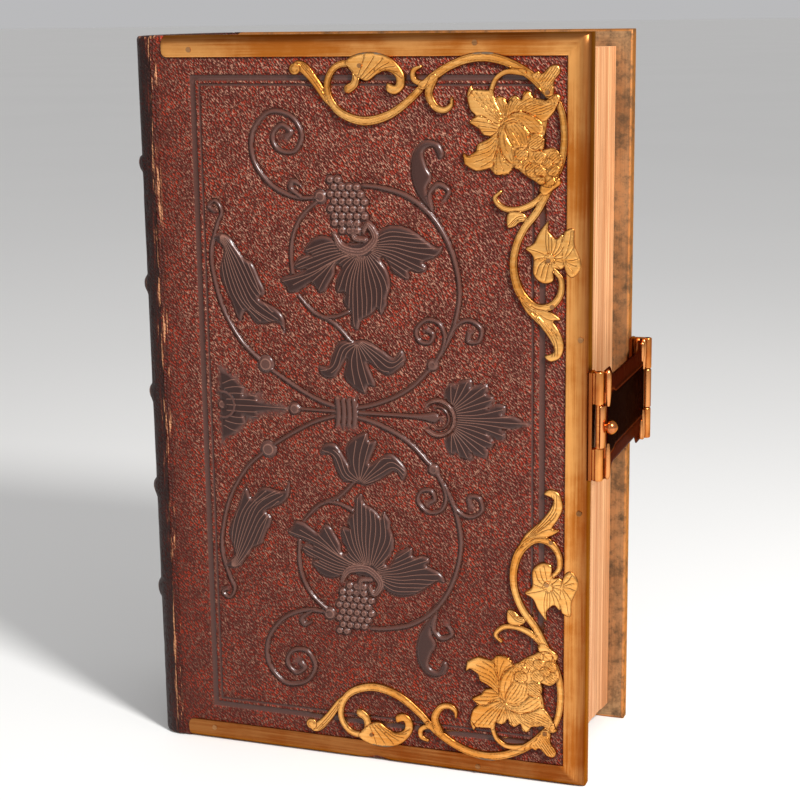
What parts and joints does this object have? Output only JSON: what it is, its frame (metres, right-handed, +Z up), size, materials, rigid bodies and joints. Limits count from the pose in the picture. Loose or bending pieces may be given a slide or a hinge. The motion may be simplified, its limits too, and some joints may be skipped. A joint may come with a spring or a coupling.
{
  "type": "antique clasped book",
  "caption": "Antique leather book standing closed, with stamped scrollwork, brass rims and corner mounts, a rounded ribbed spine and a fore-edge clasp.",
  "frame": {"origin": "middle of the book's footprint on its tail edge", "axes": "+Z up from the tail to the head, +X from the spine to the fore-edge, -Y out of the front cover"},
  "size_m": [0.1056, 0.0432, 0.152],
  "materials": {
    "gilt_pages": "gilt page edges, worn to peach",
    "silk": "wound silk",
    "leather": "pebble-grained goatskin, stamped without gold",
    "lining_paper": "smooth coated paper",
    "rim_brass": "aged, worn bright on the edges",
    "gilt_brass": "engraved and gilt",
    "dark_brass": "tarnished almost black",
    "copper": "copper-coloured, polished by handling"
  },
  "bodies": {
    "pages": {"page_block": "gilt_pages", "head_band": "silk", "tail_band": "silk", "spine_leather": "leather"},
    "front_cover": {"front_board": "leather", "front_lining": "lining_paper", "front_rim": "rim_brass", "front_rim_pins": "dark_brass", "head_corner_mount": "gilt_brass", "tail_corner_mount": "gilt_brass", "mount_pins": "dark_brass", "catch_plate": "rim_brass", "catch_bar": "dark_brass"},
    "back_cover": {"back_board": "leather", "back_lining": "lining_paper", "back_rim": "rim_brass", "back_rim_pins": "dark_brass", "clasp_leaf": "rim_brass", "hinge_pin": "dark_brass"},
    "clasp": {"hasp": "dark_brass", "clasp_knob": "copper"}
  },
  "joints": [
    {"name": "front_cover_hinge", "type": "hinge", "parent": "pages", "child": "front_cover", "pos_m": [-0.04449, -0.02105, 0.076], "axis": [0, 0, -1], "range_deg": [0, 170]},
    {"name": "back_cover_hinge", "type": "hinge", "parent": "pages", "child": "back_cover", "pos_m": [-0.04449, 0.02155, 0.076], "axis": [0, 0, 1], "range_deg": [0, 170]},
    {"name": "clasp_hinge", "type": "hinge", "parent": "back_cover", "child": "clasp", "pos_m": [0.05076, 0.0193, 0.076], "axis": [0, 0, 1], "range_deg": [0, 170]}
  ]
}
